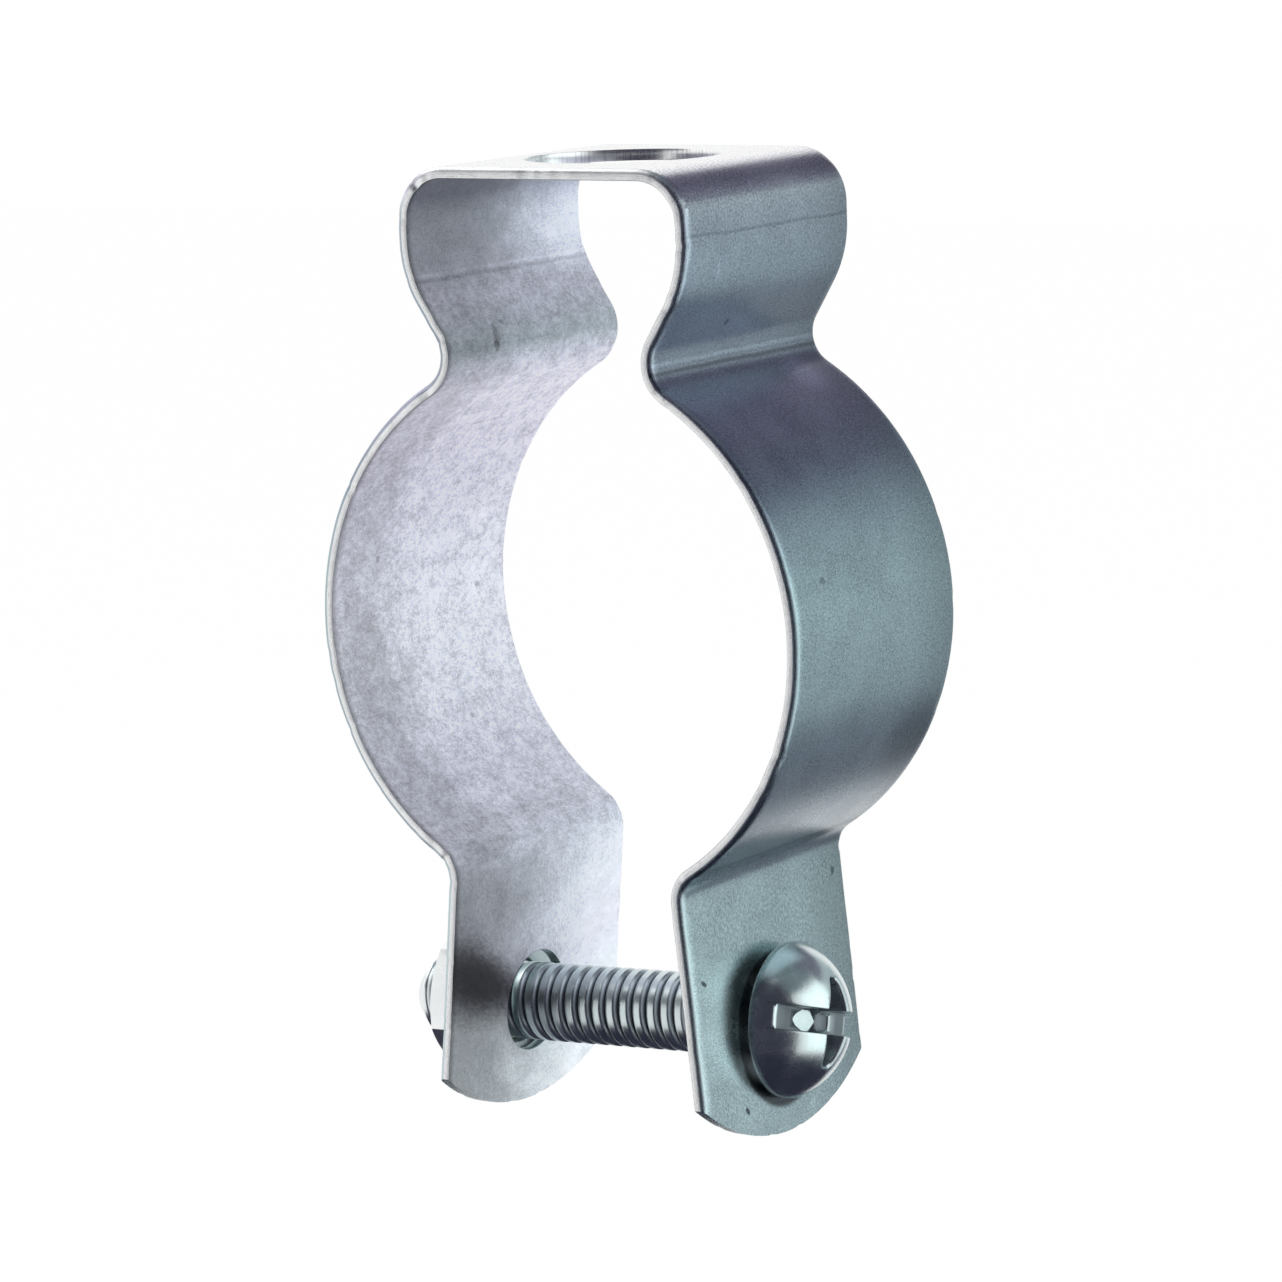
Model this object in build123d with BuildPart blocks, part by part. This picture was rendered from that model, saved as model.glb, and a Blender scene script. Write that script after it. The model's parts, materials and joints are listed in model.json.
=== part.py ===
from build123d import *
import math
import os

os.makedirs("parts", exist_ok=True)

# A conduit hanger: one folded steel strap, the machine screw that closes it and the screw's hex nut.
# Millimetres and degrees. X runs along the screw towards its head, Y along the conduit, Z is up.
# The origin is the centre of the hanging hole, on the outer face of the top plate.
# Widths of the strap are taken between mould lines, the sharp corners of its inner face before bending.

# Strap: the strip that it is folded from
strip_width = 23.8
sheet = 0.91
edge_roll = 0.45

# Strap: crown, the flat-topped box that hangs from the rod
crown_width = 24.0
crown_height = 7.1
crown_bend = 3.3
shoulder_bend = 8.3
shoulder_taper = 31.5
hanging_hole_diameter = 15.0

# Strap: the loop round the conduit, which opens to the crown at the neck and to the ears at the mouth
neck_width = 14.35
neck_bend = 3.4
loop_radius = 20.55
mouth_width = 19.12
mouth_bend = 3.0

# Strap: ears, which the screw draws together
ear_drop = 13.7
ear_tip = 8.0
ear_end_radius = 19.3
ear_splay = 5.5
ear_hole_diameter = 8.0

# Screw: 1/4-20, round head with a slot and a cross recess
thread_diameter = 6.2
screw_length = 33.6
screw_end_chamfer = 1.3
head_diameter = 12.1
head_height = 4.65
head_rim = 0.5
head_rim_round = 0.2
slot_width = 1.9
slot_depth = 2.75
slot_turn = -16.4
recess_span = 7.3
recess_shoulder = 6.1
recess_floor = 3.2
recess_depth = 3.5
recess_arm = 1.7
# In its clearance holes the screw stands a little askew, with its head up
screw_tilt = 2.0
screw_lift = 0.3

# Nut
nut_across_flats = 11.11
nut_thickness = 4.85
nut_face_share = 0.95
nut_corner_slope = 30.0
nut_turn = -12.0

# Clearances: the nut bears on its ear, and the loose head stands just off the other
thread_clearance = 0.05
nut_clearance = 0.05
head_clearance = 0.5

# Levels of the folded strap, from the top plate down
crown_half = crown_width / 2
neck_half = neck_width / 2
mouth_half = mouth_width / 2
shoulder_z = -(sheet + crown_height)
neck_z = shoulder_z - (crown_half - neck_half) / math.tan(math.radians(shoulder_taper))
loop_z = neck_z - math.sqrt(loop_radius**2 - neck_half**2)
mouth_z = loop_z - math.sqrt(loop_radius**2 - mouth_half**2)
screw_z = mouth_z - ear_drop
ear_tip_z = screw_z - ear_tip

# Ears: they lean outwards as they go down
lean = math.tan(math.radians(ear_splay))
ear_stock_z = ear_tip_z - sheet
ear_stock_half = mouth_half + (mouth_z - ear_stock_z) * lean
ear_outer_x = mouth_half + ear_drop * lean + sheet / math.cos(math.radians(ear_splay))

# Screw and nut: distances along the screw's axis from the middle of the ear gap.
# Each flat seat is nearest its leaning ear at one point of its rim.
thread_radius = thread_diameter / 2
head_radius = head_diameter / 2
nut_face_radius = nut_face_share * nut_across_flats / 2
splay = math.radians(ear_splay)
ear_distance = ear_outer_x * math.cos(splay) - screw_lift * math.sin(splay)
head_skew = math.radians(abs(ear_splay - screw_tilt))
nut_skew = math.radians(abs(ear_splay + screw_tilt))
head_seat = (ear_distance + head_radius * math.sin(head_skew) + head_clearance) / math.cos(head_skew)
head_top = head_seat + head_height
screw_end = head_seat - screw_length
nut_seat = -(ear_distance + nut_face_radius * math.sin(nut_skew) + nut_clearance) / math.cos(nut_skew)

# The screw's axis, and the upright plane through it, where X is along the axis and Y is away from it
screw_middle = Vector(0, 0, screw_z + screw_lift)
screw_along = Vector(math.cos(math.radians(screw_tilt)), 0, math.sin(math.radians(screw_tilt)))
screw_axis = Axis(screw_middle, screw_along)
screw_side = Plane(origin=screw_middle, x_dir=screw_along, z_dir=(0, -1, 0))
head_top_middle = screw_middle + screw_along * head_top

# The screw has come to rest with its slot turned about that axis: Z of this plane is along the slot
slot_side = screw_side.rotated((slot_turn, 0, 0))


# Strap: inner face of the section, one half mirrored, then rounded at each pair of bends
with BuildSketch(Plane.XZ) as inside:
    with BuildLine():
        crown = Polyline((0, -sheet), (crown_half, -sheet), (crown_half, shoulder_z), (neck_half, neck_z))
        loop = ThreePointArc(crown @ 1, (loop_radius, loop_z), (mouth_half, mouth_z))
        Polyline(loop @ 1, (ear_stock_half, ear_stock_z), (0, ear_stock_z))
        mirror(about=Plane.YZ)
    make_face()
    fillet(inside.vertices().group_by(Axis.Y)[-4], radius=mouth_bend)
    fillet(inside.vertices().group_by(Axis.Y)[-3], radius=neck_bend)
    fillet(inside.vertices().group_by(Axis.Y)[-2], radius=shoulder_bend)
    crown_row = inside.vertices().group_by(Axis.Y)[-1].sort_by(Axis.X)
    fillet([crown_row[0], crown_row[-1]], radius=crown_bend)

with BuildPart() as strap:
    # The strip's own thickness round that face, still joined below the ears
    with BuildSketch(Plane.XZ):
        offset(inside.sketch_local, amount=sheet)
        add(inside.sketch_local, mode=Mode.SUBTRACT)
    extrude(amount=strip_width / 2, both=True)
    # Shearing rolls the outer long edges over and leaves the inner ones sharp
    cut_faces = strap.faces().filter_by(Axis.Y)
    fillet([edge for face in cut_faces for edge in face.outer_wire().edges()], radius=edge_roll)
    # Seen from the side, the ears end in a shallow arc, which also parts them
    with BuildSketch(Plane.YZ):
        with Locations((0, ear_tip_z + ear_end_radius)):
            Circle(ear_end_radius)
            Rectangle(2 * ear_end_radius, -ear_tip_z, align=(Align.CENTER, Align.MIN))
    extrude(amount=crown_half + loop_radius, both=True, mode=Mode.INTERSECT)
    # Hanging hole in the top plate
    with Locations((0, 0, 0)):
        Hole(hanging_hole_diameter / 2, depth=2 * sheet)
    # Clearance holes for the screw, one in each ear
    with BuildSketch(Plane.YZ):
        with Locations((0, screw_z)):
            Circle(ear_hole_diameter / 2)
    extrude(amount=2 * ear_outer_x, both=True, mode=Mode.SUBTRACT)
strap.part.label = "strap"

with BuildPart() as screw:
    # Half section above the screw's axis: chamfered end, shank, flat seat, rim and dome
    with BuildSketch(screw_side) as half_section:
        with BuildLine():
            shank = Polyline(
                (screw_end, 0),
                (screw_end, thread_radius - screw_end_chamfer),
                (screw_end + screw_end_chamfer, thread_radius),
                (head_seat, thread_radius),
                (head_seat, head_radius),
                (head_seat + head_rim, head_radius),
            )
            dome = TangentArc((head_top, 0), shank @ 1, tangent=(0, 1))
            Line(dome @ 0, shank @ 0)
        make_face()
        rim_corners = half_section.vertices().group_by(Axis.Y)[-1].sort_by(Axis.X)
        fillet(rim_corners[-1], radius=head_rim_round)
    revolve(axis=screw_axis)
    # Driver slot, right across the head
    with BuildSketch(slot_side):
        with Locations((head_top - slot_depth, 0)):
            Rectangle(head_height, slot_width, align=(Align.MIN, Align.CENTER))
    extrude(amount=head_radius, both=True, mode=Mode.SUBTRACT)
    # Cross recess: two crossed arms that narrow a little to the slot's floor, and then to their own
    along = Plane(origin=head_top_middle, x_dir=slot_side.z_dir, z_dir=slot_side.y_dir)
    across = Plane(origin=head_top_middle, x_dir=slot_side.y_dir, z_dir=-slot_side.z_dir)
    for arm_plane in (across, along):
        with BuildSketch(arm_plane):
            with BuildLine():
                Polyline(
                    (-recess_span / 2, 0),
                    (-recess_shoulder / 2, -slot_depth),
                    (-recess_floor / 2, -recess_depth),
                    (recess_floor / 2, -recess_depth),
                    (recess_shoulder / 2, -slot_depth),
                    (recess_span / 2, 0),
                    close=True,
                )
            make_face()
        extrude(amount=recess_arm / 2, both=True, mode=Mode.SUBTRACT)
screw.part.label = "screw"

with BuildPart() as nut:
    # Hexagon with its threaded bore, from the seat outwards
    nut_plane = Plane(origin=screw_middle + screw_along * nut_seat, x_dir=(0, -1, 0), z_dir=-screw_along)
    with BuildSketch(nut_plane):
        RegularPolygon(nut_across_flats / 2, side_count=6, major_radius=False, rotation=nut_turn)
        Circle(thread_radius + thread_clearance, mode=Mode.SUBTRACT)
    extrude(amount=nut_thickness)
    # Both faces have their corners turned down to a round face
    nut_corner_radius = nut_across_flats / math.sqrt(3)
    turned = (nut_corner_radius - nut_face_radius) * math.tan(math.radians(nut_corner_slope))
    with BuildSketch(screw_side):
        with BuildLine():
            Polyline(
                (nut_seat, 0),
                (nut_seat, nut_face_radius),
                (nut_seat - turned, nut_corner_radius),
                (nut_seat - nut_thickness + turned, nut_corner_radius),
                (nut_seat - nut_thickness, nut_face_radius),
                (nut_seat - nut_thickness, 0),
                close=True,
            )
        make_face()
    revolve(axis=screw_axis, mode=Mode.INTERSECT)
nut.part.label = "nut"

export_step(strap.part, "parts/strap.step")
export_step(screw.part, "parts/screw.step")
export_step(nut.part, "parts/nut.step")
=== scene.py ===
import json
import math
from functools import cached_property

import bmesh
import bpy
from mathutils import Matrix, Vector, geometry, noise


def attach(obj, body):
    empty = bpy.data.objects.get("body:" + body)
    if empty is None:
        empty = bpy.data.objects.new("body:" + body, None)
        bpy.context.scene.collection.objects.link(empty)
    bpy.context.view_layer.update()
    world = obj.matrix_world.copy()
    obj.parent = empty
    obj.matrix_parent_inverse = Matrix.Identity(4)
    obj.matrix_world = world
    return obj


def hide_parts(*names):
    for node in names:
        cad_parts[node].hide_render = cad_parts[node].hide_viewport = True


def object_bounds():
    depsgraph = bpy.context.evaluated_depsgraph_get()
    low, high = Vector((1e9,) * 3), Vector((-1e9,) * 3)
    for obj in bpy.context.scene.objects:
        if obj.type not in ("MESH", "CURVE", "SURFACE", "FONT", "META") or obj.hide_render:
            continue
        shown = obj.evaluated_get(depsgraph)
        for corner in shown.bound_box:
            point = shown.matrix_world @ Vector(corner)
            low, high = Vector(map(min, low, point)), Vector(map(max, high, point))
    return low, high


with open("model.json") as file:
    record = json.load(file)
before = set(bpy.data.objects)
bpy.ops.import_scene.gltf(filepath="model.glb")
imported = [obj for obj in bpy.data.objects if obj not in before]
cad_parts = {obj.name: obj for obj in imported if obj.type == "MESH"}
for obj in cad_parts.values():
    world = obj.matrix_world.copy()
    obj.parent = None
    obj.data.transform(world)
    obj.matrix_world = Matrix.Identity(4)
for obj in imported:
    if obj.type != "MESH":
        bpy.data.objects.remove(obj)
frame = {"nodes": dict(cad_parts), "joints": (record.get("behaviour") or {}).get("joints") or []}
cad_low, cad_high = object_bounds()

# Lengths are in millimetres up to the finished meshes, which are in metres. Named angles are in degrees.
MM = 0.001

# Camera, as the photograph was taken
CAMERA_AZIMUTH = 32.88
CAMERA_ELEVATION = 9.23
CAMERA_ROLL = -1.93
CAMERA_DISTANCE = 398.0
CAMERA_TARGET = Vector((0.2, 0.0, -37.5))
CAMERA_LENS = 144.4
SENSOR_WIDTH = 36.0

# Studio: floor, key lamp, and the grey panels of the tent, which only show in reflections.
# A panel is its name, azimuths from and to, elevations from and to, and grey. Azimuth 0 is along Y and
# 90 along X.
FLOOR_DROP = 300.0
FLOOR_SIZE = 8000.0
FLOOR_TONE = 0.96
FLOOR_GLOW = 0.85
LAMP_PLACE = Vector((-600.0, -60.0, 880.0))
LAMP_SIZE = 600.0
LAMP_POWER = 2.5
PANEL_CENTRE = Vector((0.0, 0.0, -40.0))
PANEL_DISTANCE = 320.0
PANEL_STEP = 6.0
PANELS = (
    ("front", 108, 198, -42, 58, (0.05, 0.05, 0.07)),
    ("front_left_high", 198, 230, 18, 50, (0.05, 0.06, 0.08)),
    ("side_light", 46, 94, -36, 31, (1.28, 1.42, 1.42)),
    ("side_high", 50, 112, 34, 60, (0.16, 0.20, 0.22)),
    ("back_high", -12, 50, 25, 60, (0.15, 0.15, 0.20)),
    ("back_level", 2, 46, -24, 25, (0.46, 0.52, 0.54)),
    ("back_low", 0, 46, -42, -24, (0.20, 0.22, 0.26)),
    ("below", -180, 180, -90, -40, (0.03, 0.03, 0.05)),
    ("above", -180, 180, 60, 90, (0.16, 0.20, 0.21)),
)

# Strap, between the mould lines of its inner face
STRIP_WIDTH = 23.8
SHEET = 0.91
EDGE_ROLL = 0.45
CROWN_WIDTH = 24.0
CROWN_HEIGHT = 7.1
CROWN_BEND = 3.3
SHOULDER_BEND = 8.3
SHOULDER_TAPER = 31.5
HANGING_HOLE_DIAMETER = 15.0
NECK_WIDTH = 14.35
NECK_BEND = 3.4
LOOP_RADIUS = 20.55
MOUTH_WIDTH = 19.12
MOUTH_BEND = 3.0
EAR_DROP = 13.7
EAR_TIP = 8.0
EAR_END_RADIUS = 19.3
EAR_SPLAY = 5.5
EAR_HOLE_DIAMETER = 8.0

# Strap colours: stops along half the strip, from the top plate's middle to an ear's end. Besides the zinc's
# own tone they hold painted light: the top plate painted near white, a painted dark band and a painted
# highlight on the outside of the top bends, painted bands of light and shade round the neck, the loop and
# the mouth bends, and painted shade on the inside of the top bends.
STRIP_REACH = 94.0
OUTER_BANDS = (
    (0.00, 1.00, 1.00, 1.00),
    (0.10, 0.98, 0.98, 1.00),
    (0.115, 0.52, 0.52, 0.60),
    (0.122, 0.48, 0.48, 0.56),
    (0.1285, 0.72, 0.75, 0.82),
    (0.133, 0.66, 0.71, 0.77),
    (0.139, 0.49, 0.55, 0.61),
    (0.147, 0.43, 0.48, 0.55),
    (0.19, 0.40, 0.47, 0.54),
    (0.205, 0.33, 0.39, 0.46),
    (0.27, 0.31, 0.35, 0.41),
    (0.32, 0.44, 0.45, 0.57),
    (0.42, 0.29, 0.35, 0.42),
    (0.45, 0.36, 0.45, 0.50),
    (0.50, 0.41, 0.52, 0.55),
    (0.62, 0.38, 0.46, 0.51),
    (0.69, 0.34, 0.40, 0.45),
    (0.76, 0.42, 0.49, 0.53),
    (0.80, 0.50, 0.61, 0.63),
    (1.00, 0.52, 0.62, 0.65),
)
INNER_BANDS = (
    (0.00, 0.80, 0.80, 0.86),
    (0.115, 0.40, 0.42, 0.49),
    (0.13, 0.36, 0.38, 0.45),
    (0.15, 0.61, 0.64, 0.72),
    (0.22, 0.64, 0.66, 0.75),
    (0.262, 0.48, 0.54, 0.58),
    (0.285, 0.86, 0.86, 0.98),
    (0.40, 0.88, 0.87, 1.00),
    (0.56, 0.88, 0.89, 0.98),
    (0.68, 0.76, 0.78, 0.88),
    (0.76, 0.72, 0.75, 0.84),
    (0.80, 0.61, 0.64, 0.70),
    (0.87, 0.62, 0.63, 0.71),
    (0.905, 0.62, 0.65, 0.72),
    (0.93, 0.64, 0.69, 0.73),
    (1.00, 0.69, 0.74, 0.78),
)
# Marks on the strap's faces. A line is its centre, width, wobble and strength, and a patch its centre,
# size, softness and strength. Places are along and across the strip, and along is positive on the side
# of the screw's head. Besides specks and stains, some marks are painted light and shade, as noted at each.
OUTER_LINES = (
    # painted shade: a thin dark line along a crease in the crown side
    (14.75, 0.20, 0.12, -0.25),
    # painted highlight and painted shade: a light and a dark line at the neck
    (25.10, 0.35, 0.1, 0.35),
    (26.00, 0.35, 0.1, -0.45),
    # painted shade: a dark band along the mouth bend
    (69.60, 0.60, 0.2, -0.35),
)
OUTER_PATCHES = (
    ((29.2, 7.0), (3.0, 3.4), 0.9, 0.50),
    # painted shade: low on the loop, towards the back edge
    ((60.0, 8.5), (4.5, 6.0), 0.8, -0.30),
    ((80.9, -10.0), (0.35, 0.45), 0.5, -0.80),
    ((91.9, -5.9), (0.30, 0.40), 0.5, -0.80),
    ((21.9, -2.7), (0.35, 0.45), 0.5, -0.50),
    ((74.9, 10.2), (0.30, 0.40), 0.5, -0.60),
    ((45.6, -7.2), (0.35, 0.50), 0.5, -0.40),
    ((17.4, -7.0), (0.90, 0.16), 0.5, 0.30),
    ((92.5, 3.5), (0.50, 0.60), 0.5, 0.20),
)
INNER_LINES = (
    # painted highlight and painted shade: a light and a dark line along a crease at the shoulder
    (-18.15, 0.22, 0.1, 0.16),
    (-18.60, 0.25, 0.1, -0.20),
    (-24.40, 1.10, 0.3, -0.10),
)
INNER_PATCHES = (
    ((-23.9, -5.0), (1.3, 0.7), 0.8, -0.40),
    ((-24.6, -5.3), (0.7, 0.35), 0.5, -0.45),
    ((-22.9, -3.7), (0.35, 0.30), 0.5, -0.30),
    ((-54.5, -8.0), (7.0, 4.0), 0.5, -0.16),
    # painted shade: across the mouth bend and the start of the ear
    ((-69.5, 2.0), (1.6, 12.0), 0.8, -0.14),
    ((-71.8, -6.5), (1.6, 5.0), 0.8, -0.22),
    # painted shadow: the screw's shadow on the far ear, from its front edge to the hole
    ((-83.0, -8.8), (6.4, 11.5), 0.72, -0.68),
    ((-83.1, -8.4), (4.3, 8.0), 0.80, -0.62),
    ((-73.5, 4.0), (3.5, 10.0), 0.70, -0.14),
    ((-33.0, 0.5), (0.14, 5.0), 0.5, -0.12),
    ((-34.4, 2.0), (0.12, 4.0), 0.5, -0.12),
    ((-46.0, -6.0), (0.40, 0.30), 0.5, -0.40),
    ((-60.2, 3.0), (0.35, 0.30), 0.5, -0.40),
    ((-50.0, 8.0), (0.30, 0.40), 0.5, -0.35),
)
CUT_COLOUR = (0.88, 0.89, 0.90)
HEAD_SHADOW_COLOUR = (0.05, 0.05, 0.06, 1.0)

# Soft limits, from none to full: shading by distance along the strip, painted shadow of the screw's head by
# distance from the axis
EAR_SHADING = (71.0, 75.0)
CROWN_SHADING = (21.0, 16.0)
HEAD_SHADOW_EDGE = (6.30, 5.80)

# Strap mesh: spacing along and across the strip, its rounded and nicked edges, and the rings round its
# holes. HOLE_EDGE has how far out and how far in the rows of a hole's edge lie, as shares of EDGE_ROUND.
LONGEST_STEP = 0.5
SHARPEST_STEP = 4.0
COLUMNS = 40
ROLL_STEPS = 5
EDGE_ROUND = 0.07
WAVE_LENGTH = 6.0
WAVE_DEPTH = 0.09
NICK_LENGTH = 1.1
NICK_DEPTH = 0.22
NICK_START = 0.35
HOLE_RINGS = 8
EAR_HOLE_RINGS = 10
HOLE_EDGE = ((0.3, 0.3), (0.0, 1.0))

# Screw and nut. The thread's crest and root are shares of its pitch, and a bulge of 1 is a straight flank.
PITCH = 1.27
THREAD_DEPTH = 0.37
CREST_FLAT = 0.42
ROOT_FLAT = 0.05
THREAD_TURN_STEPS = 72
THREAD_PITCH_STEPS = 16
THREAD_RUNOUT = 1.6
FLANK_BULGE = 1.6
SHANK_DIAMETER = 6.2
SCREW_CHAMFER = 1.3
NECK_LENGTH = 0.35
NECK_ROUND = 0.08
HEAD_DIAMETER = 12.1
HEAD_HEIGHT = 4.65
HEAD_RIM = 0.5
HEAD_RIM_ROUND = 0.2
HEAD_COLUMNS = 96
DOME_STEP = 0.25
DOME_SPACING = 0.34
NUT_ACROSS_FLATS = 11.11
NUT_FACE_SHARE = 0.95
NUT_CORNER_SLOPE = 30.0
NUT_TURN = -12.0
NUT_BORE = 6.3
NUT_COUNTERSINK = 0.35
NUT_CORNER_ROUND = 0.35
NUT_EDGE_ROUND = 0.12
NUT_COLUMNS = 144
NUT_THREAD_DEPTH = 0.3
NUT_THREAD_STEPS = 12
# Colour of the painted shade in the screw's slot, recess and thread grooves
SCREW_SHADE_COLOUR = (0.08, 0.085, 0.11, 1.0)
SCREW_END_COLOUR = (0.84, 0.88, 0.89, 1.0)

# Driver slot and cross recess. Depths are below the middle of the dome, and U runs along the slot.
# SLOT_END_ROUND has lines where the slot's floor meets the dome: how far beyond, how deep and how much
# painted shade.
SLOT_TURN = -16.4
SLOT_WIDTH = 1.9
SLOT_DEPTH = 2.75
SLOT_DRAFT = 0.05
SLOT_OVERRUN = 0.25
LIP_ROUND = 0.11
SLOT_END_ROUND = ((-0.36, 0.0, 0.85), (-0.16, 0.015, 0.1), (-0.02, 0.045, 0.0), (0.16, 0.01, 0.0))
RECESS_DEPTH = 3.4
FLOOR_TILT = 0.12
WALL_DRAFT = 0.04
ARM_REACH = 3.45
ARM_TIP_HALF = 0.72
ARM_ROOT_HALF = 1.45
ARM_CHAMFER = 0.17
ARM_CORNER = 0.3
SHOULDER_REACH = 3.05
SHOULDER_TIP_HALF = 0.5
SHOULDER_ROOT_HALF = 0.85
FLOOR_HALF_LENGTH = 1.4
FLOOR_HALF_WIDTH = 0.8
OUTLINE_STEP = 0.25


def heading(angle):
    return Vector((math.cos(angle), math.sin(angle)))


def left_of(direction):
    return Vector((-direction.y, direction.x))


def angle_of(vector):
    return math.atan2(vector.y, vector.x)


def facing(azimuth, elevation):
    """The way to a place in the studio, by its angles in degrees."""
    azimuth, elevation = math.radians(azimuth), math.radians(elevation)
    level = math.cos(elevation)
    return Vector((math.sin(azimuth) * level, math.cos(azimuth) * level, math.sin(elevation)))


def about_x(x, radius, angle):
    return Vector((x, radius * math.cos(angle), radius * math.sin(angle)))


def linked(name, data):
    thing = bpy.data.objects.new(name, data)
    bpy.context.scene.collection.objects.link(thing)
    return thing


class StrapSection:
    """The strap's inner face in the XZ plane, from the middle of the top plate down one leg to its tip.

    Each piece is a straight run with its length, or a bend with its radius and how far it turns."""

    def __init__(self):
        crown_half, neck_half, mouth_half = CROWN_WIDTH / 2, NECK_WIDTH / 2, MOUTH_WIDTH / 2
        taper, splay = math.radians(SHOULDER_TAPER), math.radians(EAR_SPLAY)
        shoulder = Vector((crown_half, -(SHEET + CROWN_HEIGHT)))
        neck = Vector((neck_half, shoulder.y - (crown_half - neck_half) / math.tan(taper)))
        self.loop_centre = Vector((0, neck.y - math.sqrt(LOOP_RADIUS**2 - neck_half**2)))
        mouth = Vector((mouth_half, self.loop_centre.y - math.sqrt(LOOP_RADIUS**2 - mouth_half**2)))
        self.screw_z = mouth.y - EAR_DROP
        self.tip_z = self.screw_z - EAR_TIP
        down = -math.pi / 2
        inward, outward = down - taper, down + splay
        neck_centre = self.bend_beside_loop(neck, heading(inward), NECK_BEND, -1)
        mouth_centre = self.bend_beside_loop(mouth, heading(outward), MOUTH_BEND, 1)
        loop_start = angle_of(neck_centre - self.loop_centre)
        loop_end = angle_of(mouth_centre - self.loop_centre)
        shoulder_reach = SHOULDER_BEND * math.tan(taper / 2)
        shoulder_end = shoulder + heading(inward) * shoulder_reach
        neck_start = neck_centre - left_of(heading(inward)) * NECK_BEND
        ear_start = mouth_centre - left_of(heading(outward)) * MOUTH_BEND
        self.pieces = [
            ("plate", crown_half - CROWN_BEND, None, 0),
            ("crown_bend", None, CROWN_BEND, down),
            ("crown_side", CROWN_HEIGHT - CROWN_BEND - shoulder_reach, None, 0),
            ("shoulder_bend", None, SHOULDER_BEND, -taper),
            ("shoulder", (neck_start - shoulder_end).length, None, 0),
            ("neck_bend", None, NECK_BEND, loop_start + down - inward),
            ("loop", None, LOOP_RADIUS, loop_end - loop_start),
            ("mouth_bend", None, MOUTH_BEND, outward - (loop_end + down)),
            ("ear", (ear_start.y - self.tip_z) / math.cos(splay), None, 0),
        ]

    def bend_beside_loop(self, corner, direction, radius, way):
        """Centre of the bend that joins the loop to the straight run through corner."""
        offset = corner + left_of(direction) * radius - self.loop_centre
        along = offset.dot(direction)
        half = math.sqrt(along**2 - offset.length_squared + (LOOP_RADIUS + radius) ** 2)
        return self.loop_centre + offset + direction * (way * half - along)

    def leg(self):
        """Rows of the mesh: (distance along the strip, point, direction, piece)."""
        point, turned, along = Vector((0, -SHEET)), 0.0, 0.0
        rows = [(along, point, turned, "plate")]
        for name, length, radius, turn in self.pieces:
            if radius:
                length = radius * abs(turn)
            steps = max(1, math.ceil(length / LONGEST_STEP))
            if radius:
                steps = max(steps, math.ceil(math.degrees(abs(turn)) / SHARPEST_STEP))
                side = math.copysign(1, turn)
                centre = point + left_of(heading(turned)) * radius * side
            for step in range(1, steps + 1):
                share = step / steps
                now = turned + turn * share
                if radius:
                    place = centre - left_of(heading(now)) * radius * side
                else:
                    place = point + heading(turned) * length * share
                rows.append((along + length * share, place, now, name))
            point, turned, along = place, now, along + length
        return rows


def add_camera():
    roll = math.radians(CAMERA_ROLL)
    back = facing(180 - CAMERA_AZIMUTH, CAMERA_ELEVATION)
    right = facing(90 - CAMERA_AZIMUTH, 0)
    rolled_right = right * math.cos(roll) + back.cross(right) * math.sin(roll)
    axes = Matrix((rolled_right, back.cross(rolled_right), back)).transposed()
    data = bpy.data.cameras.new("camera")
    data.lens = CAMERA_LENS
    data.sensor_width = SENSOR_WIDTH
    data.clip_start = 0.01
    data.clip_end = 20.0
    camera = linked("camera", data)
    place = (CAMERA_TARGET + back * CAMERA_DISTANCE) * MM
    camera.matrix_world = Matrix.Translation(place) @ axes.to_4x4()
    bpy.context.scene.camera = camera


def add_world():
    world = bpy.data.worlds.new("studio")
    bpy.context.scene.world = world
    world.use_nodes = True
    background = world.node_tree.nodes["Background"]
    background.inputs["Color"].default_value = (1.0, 1.0, 1.0, 1.0)
    background.inputs["Strength"].default_value = 1.0


def spaced(start, end, step):
    """Numbers from start to end, evenly and at most a step apart."""
    count = math.ceil((end - start) / step)
    return [start + (end - start) * i / count for i in range(count + 1)]


def add_panel(name, start, end, low, high, grey):
    """Part of a sphere round the object, of one plain grey, which only reflections show."""
    grid = Grid()
    lines = []
    for elevation in spaced(low, high, PANEL_STEP):
        line = []
        for azimuth in spaced(start, end, PANEL_STEP):
            line.append(grid.add(PANEL_CENTRE + facing(azimuth, elevation) * PANEL_DISTANCE))
        lines.append(line)
    for one, other in zip(lines, lines[1:]):
        grid.bridge(one, other)
    panel = linked("panel_" + name, grid.mesh("panel_" + name))
    panel.visible_camera = False
    panel.visible_diffuse = False
    panel.visible_shadow = False
    w = Wiring("panel_" + name)
    w.material.cycles.emission_sampling = "NONE"
    panel.data.materials.append(w.surface(w.node("ShaderNodeEmission", {"Color": (*grey, 1.0)})))


def add_lamp():
    data = bpy.data.lights.new("key", "AREA")
    data.shape = "SQUARE"
    data.size = LAMP_SIZE * MM
    data.energy = LAMP_POWER
    turned = (LAMP_PLACE - PANEL_CENTRE).to_track_quat("Z", "Y").to_matrix().to_4x4()
    linked("key", data).matrix_world = Matrix.Translation(LAMP_PLACE * MM) @ turned


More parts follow.
